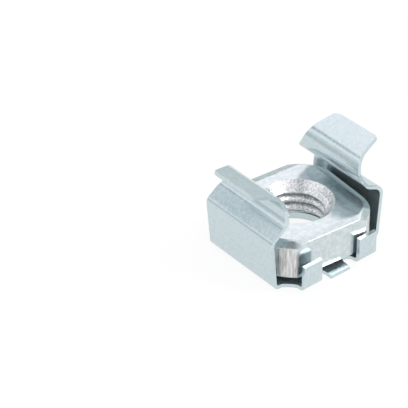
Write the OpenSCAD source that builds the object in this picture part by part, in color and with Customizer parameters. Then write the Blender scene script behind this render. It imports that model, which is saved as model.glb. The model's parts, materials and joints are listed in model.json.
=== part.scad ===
// Rack cage nut: a square M8 nut held loosely in a folded spring-steel cage.
// Millimetres. The origin is on the axis of the base hole, in the plane the base rests on,
// with +Z pointing out through the nut. X runs between the two spring walls.

/* [Cage sheet] */
// Thickness of the spring-steel sheet
sheet_t = 0.5; // [0.4:0.05:0.6]
// Inner radius of the folds round the base
fold_r = 0.45; // [0.3:0.05:0.6]

/* [Cage base] */
// Width of the base between the two tab folds, over the outer faces of the tabs
tab_span = 17.3; // [17.1:0.1:17.8]
// Height of the four tabs over the base plane
tab_h = 3.7; // [2.5:0.1:4.5]
// Distance from the centre line to the far edge of a tab
tab_far = 5.8; // [5.4:0.1:6]
// Distance from the centre line to the near edge of a tab
tab_near = 3; // [2.6:0.1:3.4]
// Half width of the flat tongue between two tabs
tongue_half = 1.5; // [1:0.1:1.7]
// Radius of the shallow curves cut across the four corners of the base
relief_r = 4.35; // [3.5:0.05:5]
// Diameter of the clearance hole in the base
hole_d = 9.3; // [9:0.1:9.5]
// Rounding of the clearance hole on the outer face
hole_round = 0.25; // [0.1:0.05:0.3]
// Height of the raised collar round the clearance hole
collar_h = 1.1; // [0.9:0.05:1.4]

/* [Spring walls] */
// Length of each spring wall along the base
wall_len = 12.1; // [11.6:0.1:12.4]
// Half width of both lips at the neck, where they turn outwards
lip_neck_half = 5.2; // [4.8:0.1:5.6]
// Length of the right wall, from the base fold to the shoulder
right_wall_h = 5.4; // [5.2:0.05:5.8]
// Length of the right shelf, from the shoulder to the neck
right_shelf = 1.1; // [0.8:0.1:1.6]
// Length of the right lip past its curl
right_blade = 2.4; // [1.5:0.1:3]
// Half width of the right lip at its tip
right_tip_half = 3.75; // [3:0.05:4.5]
// Length of the left wall, from the base fold to the shoulder
left_wall_h = 5.75; // [5.4:0.05:6]
// Length of the left shelf, from the shoulder to the neck
left_shelf = 1.9; // [1:0.1:2.2]
// Length of the left lip past its curl
left_blade = 2.4; // [1.5:0.05:3.2]
// Half width of the left lip at its tip
left_tip_half = 3.7; // [3:0.05:4.5]

/* [Nut] */
// Width of the square nut across its flats
nut_w = 14.6; // [14:0.1:14.8]
// Height of the nut
nut_h = 5.1; // [4.6:0.05:5.3]
// Diameter across the turned corners
nut_corner_d = 17.8; // [17:0.1:18.4]
// Diameter of the flat faces inside the corner chamfer
nut_face_d = 16; // [15:0.1:16.8]
// Minor diameter of the thread
thread_minor_d = 6.7; // [6.6:0.05:6.9]
// Diameter of the lead-in at each face
lead_in_d = 9.3; // [8.6:0.1:9.8]
// Width of the shallow bevel along each upper edge of the nut
bevel_w = 0.87; // [0.4:0.01:1]
// How far the loose nut has turned in its cage, in degrees
nut_turn = -5; // [-5:0.5:5]
// How far the loose nut has slid towards the right wall
nut_slide_x = 0.27; // [-0.2:0.01:0.3]
// How far the loose nut has slid towards the rear tabs
nut_slide_y = -0.24; // [-0.3:0.01:0.3]

/* [Hidden] */
$fn = 96;
steel = [0.75, 0.79, 0.81];
nut_steel = [0.78, 0.81, 0.83];

fold_out = fold_r + sheet_t;
wall_half = wall_len / 2;
tab_fold_y = tab_span / 2 - fold_out;
right_fold_x = 7.75;
left_fold_x = 7.47;
rim_band = 1.2;
relief_mid = 0.6;
relief_at = relief_mid + relief_r * cos(45);
relief_leg = relief_at - sqrt(pow(relief_r, 2) - pow(relief_at, 2));

// Turns of the folded sheet as [cosine, sine], so that every corner falls on an exact point.
square_turn = [0, 1];
wall_turn = [0.07584, 0.99712];
steep_turn = [0.352, 0.936];
easy_turn = [0.5376, 0.8432];
inward = 1;
outward = -1;

// Inner radii of the turns in the two lips.
right_shoulder_r = 1.25;
right_neck_r = 1.6;
right_curl_r = 2.3;
left_shoulder_r = 0.5;
left_neck_r = 2;
left_curl_r = 1.8;

// Folded strips: each row is a straight run, then a turn, its direction and its inner radius.
right_strip = [
    [0, wall_turn, inward, fold_r],
    [right_wall_h, steep_turn, inward, right_shoulder_r],
    [right_shelf, steep_turn, outward, right_neck_r],
    [0, steep_turn, outward, right_curl_r],
    [right_blade]
];
left_strip = [
    [0, wall_turn, inward, fold_r],
    [left_wall_h, easy_turn, inward, left_shoulder_r],
    [left_shelf, easy_turn, outward, left_neck_r],
    [0, steep_turn, outward, left_curl_r],
    [left_blade]
];

// A lip tapers quickly to its neck, then slowly to its tip, cut along the lip's own slant.
// The heights of its start, neck and tips are taken up that slant.
taper_tilt = 20;
taper_start = 4.8;
taper_neck = 6;
right_taper_z = right_wall_h;
left_taper_z = left_wall_h - 0.2;
right_tip_u = 9.9;
left_tip_u = 9.5;

// The nut sits on the collar. Its lead-ins and upper corners are cut at 45 degrees.
nut_z = collar_h;
lead_in_depth = (lead_in_d - thread_minor_d) / 2;
corner_drop = (nut_corner_d - nut_face_d) / 2;
low_corner_drop = 0.15;
bevel_tilt = atan2(0.28, 0.96);

eps = 0.01;
reach = 24;
margin = 2;

module half_plane(x = 0) {
    translate([x, -reach / 2]) square(reach);
}

module bend(angle, radius) {
    intersection() {
        difference() {
            circle(r = radius + sheet_t);
            circle(r = radius);
        }
        half_plane();
        rotate(angle) half_plane(-reach);
    }
}

// Section of a folded strip: the outer face starts at the origin and runs along +X.
module strip(rows, i = 0) {
    run = rows[i][0];
    if (run > 0)
        square([run, sheet_t]);
    if (len(rows[i]) > 1) {
        angle = atan2(rows[i][1][1], rows[i][1][0]);
        radius = rows[i][3];
        if (rows[i][2] == inward)
            translate([run, sheet_t + radius]) {
                bend(angle, radius);
                rotate(angle) translate([0, -sheet_t - radius]) strip(rows, i + 1);
            }
        else
            translate([run, -radius]) {
                mirror([0, 1]) bend(angle, radius);
                rotate(-angle) translate([0, radius]) strip(rows, i + 1);
            }
    }
}

// Waste beside a lip: distance up the slant runs along Y here, half width along X.
module lip_waste(taper_z, tip_half, tip_u) {
    neck_slope = (lip_neck_half - wall_half) / (taper_neck - taper_start);
    tip_slope = (tip_half - lip_neck_half) / (tip_u - taper_neck);
    low = taper_start - margin;
    high = tip_u + margin;
    rotate([0, taper_tilt, 0]) translate([-reach / 2, 0, taper_z]) rotate([90, 0, 90])
        linear_extrude(reach) polygon([
            [lip_neck_half + neck_slope * (low - taper_neck), low],
            [lip_neck_half, taper_neck],
            [lip_neck_half + tip_slope * (high - taper_neck), high],
            [wall_half + margin, high], [wall_half + margin, low]
        ]);
}

module half_wall(rows, fold_x, taper_z, tip_half, tip_u) {
    difference() {
        translate([fold_x, wall_half, 0]) rotate([90, 0, 0])
            linear_extrude(wall_half) strip(rows);
        lip_waste(taper_z, tip_half, tip_u);
    }
}

module right_wall() {
    for (side = [0, 1]) mirror([0, side, 0])
        half_wall(right_strip, right_fold_x, right_taper_z, right_tip_half, right_tip_u);
}

module left_wall() {
    for (side = [0, 1]) mirror([0, side, 0])
        half_wall(left_strip, left_fold_x, left_taper_z, left_tip_half, left_tip_u);
}

module base_outline() {
    translate([-left_fold_x, -wall_half]) square([left_fold_x + right_fold_x, wall_len]);
    square([2 * tab_far, 2 * tab_fold_y], center = true);
    square([2 * tongue_half, tab_span], center = true);
    for (x = [0, 1], y = [0, 1]) mirror([x, 0]) mirror([0, y])
        translate([tab_far, wall_half]) difference() {
            square(relief_leg);
            translate([relief_at, relief_at]) circle(r = relief_r);
        }
}

module tab_notch() {
    notch = tab_near - tongue_half;
    translate([tongue_half, tab_fold_y - 0.1]) {
        translate([notch / 2, 0]) circle(d = notch);
        square([notch, fold_out + 1]);
    }
}

module tab() {
    rotate([90, 0, 90]) linear_extrude(tab_far - tab_near)
        strip([[0, square_turn, inward, fold_r], [tab_h - fold_out]]);
}

// The hole's rim: plate, drawn collar and rounded outer edge in one turned section.
module hole_rim() {
    rotate_extrude() translate([hole_d / 2, 0]) difference() {
        union() {
            square([rim_band, sheet_t]);
            square([sheet_t, collar_h]);
        }
        difference() {
            translate([-margin, -margin]) square(margin + hole_round);
            translate([hole_round, hole_round]) circle(r = hole_round);
        }
    }
}

module tab_pair() {
    for (x = [0, 1]) mirror([x, 0, 0]) translate([tab_near, tab_fold_y, 0]) tab();
}

// One folded sheet: base, four tabs, two spring walls with their lips.
module cage() {
    color(steel) {
        difference() {
            linear_extrude(sheet_t) base_outline();
            for (x = [0, 1], y = [0, 1]) mirror([x, 0, 0]) mirror([0, y, 0])
                translate([0, 0, -margin / 2]) linear_extrude(sheet_t + margin) tab_notch();
            translate([0, 0, -margin / 2])
                cylinder(r = (hole_d + rim_band) / 2, h = sheet_t + margin);
        }
        hole_rim();
        for (y = [0, 1]) mirror([0, y, 0]) tab_pair();
        right_wall();
        mirror([1, 0, 0]) left_wall();
    }
}

// Waste over the upper edges of the nut, along each of its four sides.
module bevel_waste() {
    for (side = [0 : 3]) rotate(90 * side)
        translate([nut_w / 2 - bevel_w, 0, nut_h]) rotate([0, bevel_tilt, 0])
            translate([-margin, -nut_w, 0]) cube([2 * margin, 2 * nut_w, margin]);
}

module nut_blank() {
    face_r = nut_face_d / 2;
    corner_r = nut_corner_d / 2;
    intersection() {
        translate([-nut_w / 2, -nut_w / 2, 0]) cube([nut_w, nut_w, nut_h]);
        rotate_extrude() polygon([
            [0, 0], [corner_r - low_corner_drop, 0], [corner_r, low_corner_drop],
            [corner_r, nut_h - corner_drop], [face_r, nut_h], [0, nut_h]
        ]);
    }
}

module nut_bore() {
    minor_r = thread_minor_d / 2;
    lead_r = lead_in_d / 2;
    translate([0, 0, -margin / 2]) cylinder(r = minor_r, h = nut_h + margin);
    for (top = [0, 1]) translate([0, 0, top * nut_h]) mirror([0, 0, top])
        translate([0, 0, -eps])
            cylinder(r1 = lead_r + eps, r2 = minor_r, h = lead_in_depth + eps);
}

module nut() {
    color(nut_steel) translate([nut_slide_x, nut_slide_y, nut_z]) rotate(nut_turn) difference() {
        nut_blank();
        bevel_waste();
        nut_bore();
    }
}

cage();
nut();
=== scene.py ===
"""Rack cage nut: the threaded square nut, its folded spring-steel cage and a white studio."""
import json
import math

import bmesh
import bpy
from mathutils import Matrix, Vector

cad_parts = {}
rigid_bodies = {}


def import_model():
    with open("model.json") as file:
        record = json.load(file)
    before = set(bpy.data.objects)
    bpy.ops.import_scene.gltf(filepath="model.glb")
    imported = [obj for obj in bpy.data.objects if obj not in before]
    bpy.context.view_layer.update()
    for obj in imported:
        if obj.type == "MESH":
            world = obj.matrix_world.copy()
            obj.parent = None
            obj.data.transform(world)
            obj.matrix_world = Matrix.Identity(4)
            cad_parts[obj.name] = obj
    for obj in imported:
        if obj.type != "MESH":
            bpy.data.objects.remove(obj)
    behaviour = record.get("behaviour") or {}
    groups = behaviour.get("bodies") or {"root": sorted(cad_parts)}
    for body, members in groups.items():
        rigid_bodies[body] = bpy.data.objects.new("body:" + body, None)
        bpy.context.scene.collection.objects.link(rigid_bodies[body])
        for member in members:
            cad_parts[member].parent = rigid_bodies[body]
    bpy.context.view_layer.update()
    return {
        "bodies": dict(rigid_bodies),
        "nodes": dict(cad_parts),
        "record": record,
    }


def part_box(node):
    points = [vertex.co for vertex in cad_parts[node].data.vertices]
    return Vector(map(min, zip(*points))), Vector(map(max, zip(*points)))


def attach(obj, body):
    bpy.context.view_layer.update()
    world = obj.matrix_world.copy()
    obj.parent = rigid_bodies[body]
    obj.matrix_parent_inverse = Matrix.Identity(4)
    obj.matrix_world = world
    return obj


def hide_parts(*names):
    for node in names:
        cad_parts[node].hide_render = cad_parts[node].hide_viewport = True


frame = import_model()

MM = 0.001
BODY = next(iter(frame["bodies"]))
MOUNTS = {mount["name"]: mount for mount in frame["record"]["mounts"]}

# ---------------------------------------------------------------- camera, matched to the photograph
IMAGE = 408
SENSOR = 36
FOCAL_PIXELS = 1801
CAMERA_AIM = Vector((-6.62, 9.41, 3.58)) * MM
CAMERA_DISTANCE = 224 * MM
CAMERA_AZIMUTH = -127.97
CAMERA_ELEVATION = 35.64
CAMERA_ROLL = -1.27


def direction(azimuth, elevation):
    """Unit vector at an azimuth from +X and an elevation, both in degrees."""
    azimuth, elevation = math.radians(azimuth), math.radians(elevation)
    level = math.cos(elevation)
    return Vector((level * math.cos(azimuth), level * math.sin(azimuth), math.sin(elevation)))


def add_camera():
    data = bpy.data.cameras.new("camera")
    data.sensor_width = SENSOR
    data.lens = FOCAL_PIXELS * SENSOR / IMAGE
    data.clip_start = 10 * MM
    camera = bpy.data.objects.new("camera", data)
    bpy.context.scene.collection.objects.link(camera)
    away = direction(CAMERA_AZIMUTH, CAMERA_ELEVATION)
    roll = Matrix.Rotation(math.radians(CAMERA_ROLL), 3, "Z")
    camera.location = CAMERA_AIM + away * CAMERA_DISTANCE
    camera.rotation_euler = (away.to_track_quat("Z", "Y").to_matrix() @ roll).to_euler()
    bpy.context.scene.camera = camera


# ---------------------------------------------------------------- materials
def node_tree(owner):
    """The owner's emptied node tree, as (nodes, links)."""
    owner.use_nodes = True
    owner.node_tree.nodes.clear()
    return owner.node_tree.nodes, owner.node_tree.links


def noise(nodes, links, scale, stretch=(1, 1, 1), detail=4):
    """Noise fixed to the object, with its features drawn out along an axis by a small stretch."""
    place = nodes.new("ShaderNodeTexCoord")
    squeeze = nodes.new("ShaderNodeMapping")
    squeeze.inputs["Scale"].default_value = stretch
    texture = nodes.new("ShaderNodeTexNoise")
    texture.inputs["Scale"].default_value = scale
    texture.inputs["Detail"].default_value = detail
    links.new(place.outputs["Object"], squeeze.inputs["Vector"])
    links.new(squeeze.outputs["Vector"], texture.inputs["Vector"])
    return texture.outputs["Fac"]


def ramp(nodes, links, source, stops):
    """Colours (position, colour) laid over a value from 0 to 1."""
    tone = nodes.new("ShaderNodeValToRGB")
    elements = tone.color_ramp.elements
    while len(elements) < len(stops):
        elements.new(0.5)
    for element, (position, colour) in zip(elements, stops):
        element.position = position
        element.color = (*colour, 1)
    links.new(source, tone.inputs["Fac"])
    return tone.outputs["Color"]


def span(nodes, links, source, low, high):
    """A value from 0 to 1 brought to between low and high."""
    fit = nodes.new("ShaderNodeMapRange")
    fit.inputs["To Min"].default_value = low
    fit.inputs["To Max"].default_value = high
    links.new(source, fit.inputs["Value"])
    return fit.outputs["Result"]


def bump(nodes, links, height, depth, before=None):
    """Relief of a depth in metres, laid over an earlier relief."""
    relief = nodes.new("ShaderNodeBump")
    relief.inputs["Distance"].default_value = depth
    links.new(height, relief.inputs["Height"])
    if before:
        links.new(before, relief.inputs["Normal"])
    return relief.outputs["Normal"]


# Share of the light that the plating mirrors; the rest it scatters.
MIRROR_SHARE = 0.88
# The part of the noise over which a metal goes from its dark to its light tone.
GRAIN_SPREAD = (0.35, 0.65)


def metal(name, dark, light, grain, gloss, reliefs):
    """Plated steel. grain is its noise, gloss its roughness range, reliefs (noise, depth) pairs."""
    material = bpy.data.materials.new(name)
    nodes, links = node_tree(material)
    out = nodes.new("ShaderNodeOutputMaterial")
    shader = nodes.new("ShaderNodeBsdfPrincipled")
    shader.inputs["Metallic"].default_value = MIRROR_SHARE
    cloud = noise(nodes, links, **grain)
    tones = ramp(nodes, links, cloud, list(zip(GRAIN_SPREAD, (dark, light))))
    links.new(tones, shader.inputs["Base Color"])
    links.new(span(nodes, links, cloud, *gloss), shader.inputs["Roughness"])
    surface = None
    for texture, depth in reliefs:
        surface = bump(nodes, links, noise(nodes, links, **texture), depth, surface)
    links.new(surface, shader.inputs["Normal"])
    links.new(shader.outputs["BSDF"], out.inputs["Surface"])
    return material


def sheet_zinc():
    """Bright zinc on rolled sheet: smooth, with a fine tooth and a slight waviness."""
    return metal(
        "sheet_zinc",
        dark=(0.54, 0.64, 0.665),
        light=(0.60, 0.69, 0.715),
        grain=dict(scale=2400, detail=4),
        gloss=(0.14, 0.22),
        reliefs=[
            (dict(scale=150, detail=1), 0.04 * MM),
            (dict(scale=2200, detail=3), 0.006 * MM),
        ],
    )


def nut_zinc():
    """Bright zinc on a cold-formed nut, whose faces are less even than the sheet."""
    return metal(
        "nut_zinc",
        dark=(0.55, 0.635, 0.655),
        light=(0.67, 0.73, 0.745),
        grain=dict(scale=1500, detail=5),
        gloss=(0.12, 0.26),
        reliefs=[
            (dict(scale=190, detail=2), 0.12 * MM),
            (dict(scale=1800, detail=3), 0.010 * MM),
        ],
    )


def cut_thread():
    """The tapped thread and its lead-ins: duller and more broken up than the faces."""
    return metal(
        "cut_thread",
        dark=(0.46, 0.50, 0.51),
        light=(0.78, 0.80, 0.81),
        grain=dict(scale=3600, detail=4),
        gloss=(0.16, 0.34),
        reliefs=[
            (dict(scale=2600, stretch=(1, 1, 2), detail=4), 0.05 * MM),
        ],
    )


def sheared_steel():
    """The nut's sheared corners: dull, grey and streaked from face to face."""
    return metal(
        "sheared_steel",
        dark=(0.44, 0.44, 0.43),
        light=(0.86, 0.87, 0.87),
        grain=dict(scale=4200, stretch=(1, 1, 0.12), detail=4),
        gloss=(0.25, 0.5),
        reliefs=[
            (dict(scale=3200, stretch=(1, 1, 0.1), detail=3), 0.05 * MM),
            (dict(scale=700, detail=3), 0.05 * MM),
        ],
    )


# ---------------------------------------------------------------- the nut
THREAD = MOUNTS["thread"]
CREST_R = THREAD["dims"]["r_mm"] * MM
NUT_TURN = math.radians(-5)
NUT_HALF = 7.3 * MM
CORNER_R = 8.9 * MM
FACE_R = 8 * MM
BEVEL_W = 0.87 * MM
BEVEL_SLOPE = 0.28 / 0.96
LEAD_R = 4.65 * MM
LOW_DROP = 0.15 * MM
EDGE_R = 0.12 * MM
BLEND = 0.12 * MM
PITCH = 1.25 * MM
ROOT_R = 4.02 * MM
# Share of the pitch that is flat at a crest or a root, and how softly a flank meets the crest.
FLAT = 0.13
CREST_BLEND = 0.1
# Upright faces have normals that rise less than this.
UPRIGHT = 0.3
SAME_PLACE = 0.002 * MM
SEGMENTS = 240
THREAD_STEPS = 32
FACE_STEPS = 40
SIDE_STEPS = 8
ARC_STEPS = 6
QUARTER = math.pi / 2


def smooth_min(a, b, width=BLEND):
    """The smaller of two lengths, rounded where they meet."""
    near = max(width - abs(a - b), 0) / width
    return min(a, b) - near * near * width / 4


def from_flat(angle):
    """Angle from the middle of the nearest of the nut's four sides."""
    return (angle + QUARTER / 2) % QUARTER - QUARTER / 2


def nut_outline(angle):
    return smooth_min(NUT_HALF / math.cos(from_flat(angle)), CORNER_R)


def top_drop(radius, angle):
    """How far the upper face has fallen at a place, by its corner cone or its side bevel."""
    cone = radius - FACE_R
    bevel = (radius * math.cos(from_flat(angle)) - NUT_HALF + BEVEL_W) * BEVEL_SLOPE
    return -smooth_min(smooth_min(-cone, 0), -bevel)


def outer_profile(angle, height):
    """(radius, height) from the lower lead-in, round the outside, to the upper lead-in."""
    edge = nut_outline(angle)
    points = [(LEAD_R, 0), ((LEAD_R + edge) / 2, 0)]
    for step in range(ARC_STEPS):
        turn = step / (ARC_STEPS - 1) * QUARTER
        points.append((edge - LOW_DROP * (1 - math.sin(turn)), LOW_DROP * (1 - math.cos(turn))))
    rim = edge - EDGE_R
    side_top = height - top_drop(rim, angle) - EDGE_R
    for step in range(1, SIDE_STEPS):
        points.append((edge, LOW_DROP + (side_top - LOW_DROP) * step / SIDE_STEPS))
    for step in range(ARC_STEPS):
        turn = step / (ARC_STEPS - 1) * QUARTER
        points.append((rim + EDGE_R * math.cos(turn), side_top + EDGE_R * math.sin(turn)))
    for step in range(1, FACE_STEPS + 1):
        radius = rim + (LEAD_R - rim) * step / FACE_STEPS
        points.append((radius, height - top_drop(radius, angle)))
    return points


def thread_radius(phase):
    """Radius of the thread at a phase of its pitch from 0 to 1: crest, flank, root, flank."""
    flank = 0.5 - FLAT
    depth = smooth_min((abs(phase - 0.5) - FLAT / 2) / flank, 1, CREST_BLEND)
    return ROOT_R + (CREST_R - ROOT_R) * max(depth, 0)


def thread_profile(angle, height):
    """(radius, height) down the bore, each row at one phase of the right-hand thread."""
    rise = PITCH * angle / (2 * math.pi)
    rows = int((height / PITCH + 1) * THREAD_STEPS) + 2
    points = []
    for row in range(rows):
        z = height + rise - PITCH * row / THREAD_STEPS
        z = min(max(z, 0), height)
        cone = LEAD_R - min(z, height - z)
        points.append((max(thread_radius(row / THREAD_STEPS % 1), cone), z))
    return points


def add_turned(mesh, profile, height, climb=0):
    """A surface turned round the axis, whose rows climb by so many rows in one turn."""
    columns = []
    for column in range(SEGMENTS):
        angle = 2 * math.pi * column / SEGMENTS
        out = Vector((math.cos(angle), math.sin(angle), 0))
        columns.append([
            mesh.verts.new(out * radius + Vector((0, 0, z)))
            for radius, z in profile(angle, height)
        ])
    for column, here in enumerate(columns):
        after = columns[(column + 1) % SEGMENTS]
        step = climb if column == SEGMENTS - 1 else 0
        for row in range(len(here) - 1):
            first, second = max(row - step, 0), max(row + 1 - step, 0)
            if first == second:
                mesh.faces.new((here[row], after[first], here[row + 1]))
            else:
                mesh.faces.new((here[row], after[first], after[second], here[row + 1]))


def mesh_object(name, mesh, materials, sharp=35):
    """A linked object from a bmesh, smooth but for edges over an angle of sharp degrees."""
    data = bpy.data.meshes.new(name)
    mesh.to_mesh(data)
    mesh.free()
    for material in materials:
        data.materials.append(material)
    data.shade_smooth()
    data.set_sharp_from_angle(angle=math.radians(sharp))
    piece = bpy.data.objects.new(name, data)
    bpy.context.scene.collection.objects.link(piece)
    return piece


def nut_finish(face):
    """Which of the nut's finishes a face has: 0 its faces, 1 its sheared corners, 2 its thread."""
    middle = face.calc_center_median()
    radius = math.hypot(middle.x, middle.y)
    if radius < LEAD_R:
        return 2
    return int(radius > CORNER_R - BLEND and abs(face.normal.z) < UPRIGHT)


def add_nut():
    low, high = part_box("nut")
    height = high.z - low.z
    mesh = bmesh.new()
    add_turned(mesh, outer_profile, height)
    add_turned(mesh, thread_profile, height, climb=THREAD_STEPS)
    bmesh.ops.remove_doubles(mesh, verts=mesh.verts, dist=SAME_PLACE)
    bmesh.ops.dissolve_degenerate(mesh, edges=mesh.edges, dist=SAME_PLACE / 2)
    bmesh.ops.recalc_face_normals(mesh, faces=mesh.faces)
    for face in mesh.faces:
        face.material_index = nut_finish(face)
    axis = Vector(THREAD["pos_m"])
    axis.z = low.z
    mesh.transform(Matrix.Translation(axis) @ Matrix.Rotation(NUT_TURN, 4, "Z"))
    piece = mesh_object("threaded_nut", mesh, [nut_zinc(), sheared_steel(), cut_thread()])
    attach(piece, BODY)
    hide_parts("nut")


# ---------------------------------------------------------------- the cage
BROKEN_EDGE = 0.06 * MM
BROKEN_FROM = 40
# Slant of both lips' ends in degrees, the rounding of their corners by end and side, and how far
# a lip widens for each metre behind its tip.
TIP_RISE = 16.26
TIP_ROUND = {1: {1: 1.8 * MM, -1: 0.5 * MM}, -1: {1: 1 * MM, -1: 0.6 * MM}}
TIP_TAPER = 0.38
# How far the cutters reach over and under the sheet, and past its edges.
TIP_REACH = 1.2 * MM
MARGIN = 0.6 * MM


def corner_waste(radius):
    """Outline (out, across) of what rounding takes off a corner that widens behind the tip."""
    slant = math.hypot(1, TIP_TAPER)
    middle = (-radius, TIP_TAPER * radius - radius * slant)
    last = math.atan2(1, TIP_TAPER)
    arc = [last * step / ARC_STEPS for step in range(ARC_STEPS + 1)]
    outline = [(middle[0] + radius * math.cos(t), middle[1] + radius * math.sin(t)) for t in arc]
    side = outline[-1]
    outline.append((side[0] + MARGIN * TIP_TAPER / slant, side[1] + MARGIN / slant))
    outline.append((MARGIN, MARGIN))
    outline.append((MARGIN, outline[0][1]))
    return outline


def tip_cutter(cage, end):
    """Prisms over both corners of the lip tip at the +X (1) or -X (-1) end of the cage."""
    points = [vertex.co for vertex in cage.data.vertices]
    reach = max(point.x * end for point in points)
    tip = [point for point in points if point.x * end > reach - BROKEN_EDGE]
    half = max(point.y for point in tip)
    height = sum(point.z for point in tip) / len(tip)
    rise = math.radians(TIP_RISE)
    out = Vector((end * math.cos(rise), 0, math.sin(rise)))
    up = Vector((-end * math.sin(rise), 0, math.cos(rise)))
    mesh = bmesh.new()
    for side in (1, -1):
        corner = Vector((end * reach, side * half, height))
        rings = []
        for level in (-TIP_REACH, TIP_REACH):
            rings.append([
                mesh.verts.new(corner + out * along + Vector((0, side * across, 0)) + up * level)
                for along, across in corner_waste(TIP_ROUND[end][side])
            ])
        low, high = rings
        mesh.faces.new(low)
        mesh.faces.new(high)
        for index in range(len(low)):
            after = (index + 1) % len(low)
            mesh.faces.new((low[index], low[after], high[after], high[index]))
    bmesh.ops.recalc_face_normals(mesh, faces=mesh.faces)
    which = "right" if end == 1 else "left"
    cutter = mesh_object(f"tip_cutter_{which}", mesh, [])
    cutter.hide_render = True
    cutter.hide_viewport = True
    return cutter


def dress_cage():
    """The folded sheet, with the corners of its lips rounded and its sheared edges just broken."""
    cage = frame["nodes"]["cage"]
    cage.data.materials.clear()
    cage.data.materials.append(sheet_zinc())
    weld = cage.modifiers.new("weld", "WELD")
    weld.merge_threshold = SAME_PLACE / 2
    for end in TIP_ROUND:
        cut = cage.modifiers.new("round_tip", "BOOLEAN")
        cut.operation = "DIFFERENCE"
        cut.solver = "EXACT"
        cut.object = tip_cutter(cage, end)
    edges = cage.modifiers.new("broken_edges", "BEVEL")
    edges.limit_method = "ANGLE"
    edges.angle_limit = math.radians(BROKEN_FROM)
    edges.width = BROKEN_EDGE
    edges.segments = 2
    edges.harden_normals = True
    even = cage.modifiers.new("even_normals", "WEIGHTED_NORMAL")
    even.weight = 100
    even.keep_sharp = True


# ---------------------------------------------------------------- studio
FLOOR_HALF = 3
FLOOR_COLOUR = (0.9, 0.9, 0.9, 1)
# Share of plain white in what the camera and reflections see of the floor; the rest is lit.
GLOW = 0.9


def shown_to(nodes, links, *rays):
    """1 on the named kinds of ray, 0 on others."""
    path = nodes.new("ShaderNodeLightPath")
    total = path.outputs[rays[0]]
    for ray in rays[1:]:
        join = nodes.new("ShaderNodeMath")
        join.operation = "MAXIMUM"
        links.new(total, join.inputs[0])
        links.new(path.outputs[ray], join.inputs[1])
        total = join.outputs["Value"]
    return total


def add_floor():
    """A plain white floor that keeps the object's shadow."""
    material = bpy.data.materials.new("white_floor")
    nodes, links = node_tree(material)
    out = nodes.new("ShaderNodeOutputMaterial")
    paint = nodes.new("ShaderNodeBsdfDiffuse")
    paint.inputs["Color"].default_value = FLOOR_COLOUR
    white = nodes.new("ShaderNodeEmission")
    seen = shown_to(nodes, links, "Is Camera Ray", "Is Glossy Ray", "Is Transmission Ray")
    mix = nodes.new("ShaderNodeMixShader")
    links.new(span(nodes, links, seen, 0, GLOW), mix.inputs["Fac"])
    links.new(paint.outputs["BSDF"], mix.inputs[1])
    links.new(white.outputs["Emission"], mix.inputs[2])
    links.new(mix.outputs["Shader"], out.inputs["Surface"])
    mesh = bmesh.new()
    bmesh.ops.create_grid(mesh, x_segments=1, y_segments=1, size=FLOOR_HALF)
    mesh_object("floor", mesh, [material])


SKY = [
    (0.00, (0.66, 0.72, 0.72)),
    (0.20, (0.66, 0.71, 0.71)),
    (0.38, (0.98, 0.98, 1.00)),
    (0.55, (1.45, 1.38, 1.42)),
    (1.00, (1.05, 1.04, 1.06)),
]
# Soft teal flags in the studio: azimuth, elevation, inner and outer radius in degrees, colour.
FLAGS = [
    (60, 26, 3, 10, (0.30, 0.40, 0.43)),
    (126, 36, 3, 9, (0.34, 0.46, 0.49)),
    (-143, 52, 5, 13, (0.07, 0.11, 0.12)),
]


def add_flag(nodes, links, sky, place, flag):
    """The sky with one soft round flag laid over it."""
    azimuth, elevation, inner, outer, colour = flag
    facing = nodes.new("ShaderNodeVectorMath")
    facing.operation = "DOT_PRODUCT"
    facing.inputs[1].default_value = direction(azimuth, elevation)
    links.new(place, facing.inputs[0])
    edge = nodes.new("ShaderNodeMapRange")
    edge.interpolation_type = "SMOOTHSTEP"
    edge.inputs["From Min"].default_value = math.cos(math.radians(outer))
    edge.inputs["From Max"].default_value = math.cos(math.radians(inner))
    links.new(facing.outputs["Value"], edge.inputs["Value"])
    mix = nodes.new("ShaderNodeMix")
    mix.data_type = "RGBA"
    links.new(edge.outputs["Result"], mix.inputs["Factor"])
    links.new(sky, mix.inputs["A"])
    mix.inputs["B"].default_value = (*colour, 1)
    return mix.outputs["Result"]


def add_world():
    """A pale studio round the object, plain white to the camera."""
    world = bpy.data.worlds.new("studio")
    bpy.context.scene.world = world
    nodes, links = node_tree(world)
    place = nodes.new("ShaderNodeTexCoord").outputs["Generated"]
    split = nodes.new("ShaderNodeSeparateXYZ")
    links.new(place, split.inputs["Vector"])
    sky = ramp(nodes, links, split.outputs["Z"], SKY)
    for flag in FLAGS:
        sky = add_flag(nodes, links, sky, place, flag)
    around = nodes.new("ShaderNodeBackground")
    links.new(sky, around.inputs["Color"])
    white = nodes.new("ShaderNodeBackground")
    white.inputs["Color"].default_value = (1, 1, 1, 1)
    mix = nodes.new("ShaderNodeMixShader")
    links.new(shown_to(nodes, links, "Is Camera Ray"), mix.inputs["Fac"])
    links.new(around.outputs["Background"], mix.inputs[1])
    links.new(white.outputs["Background"], mix.inputs[2])
    out = nodes.new("ShaderNodeOutputWorld")
    links.new(mix.outputs["Shader"], out.inputs["Surface"])


def add_soft_box(name, azimuth, elevation, distance, sides, power):
    """A soft box aimed at the object: degrees, metres and watts."""
    data = bpy.data.lights.new(name, "AREA")
    data.shape = "RECTANGLE"
    data.size, data.size_y = sides
    data.energy = power
    lamp = bpy.data.objects.new(name, data)
    bpy.context.scene.collection.objects.link(lamp)
    away = direction(azimuth, elevation)
    lamp.location = away * distance
    lamp.rotation_euler = away.to_track_quat("Z", "Y").to_euler()


bpy.context.scene.view_settings.view_transform = "Standard"
add_camera()
dress_cage()
add_nut()
add_floor()
add_world()
add_soft_box("fill", azimuth=-50, elevation=42, distance=0.5, sides=(0.12, 0.3), power=0.7)
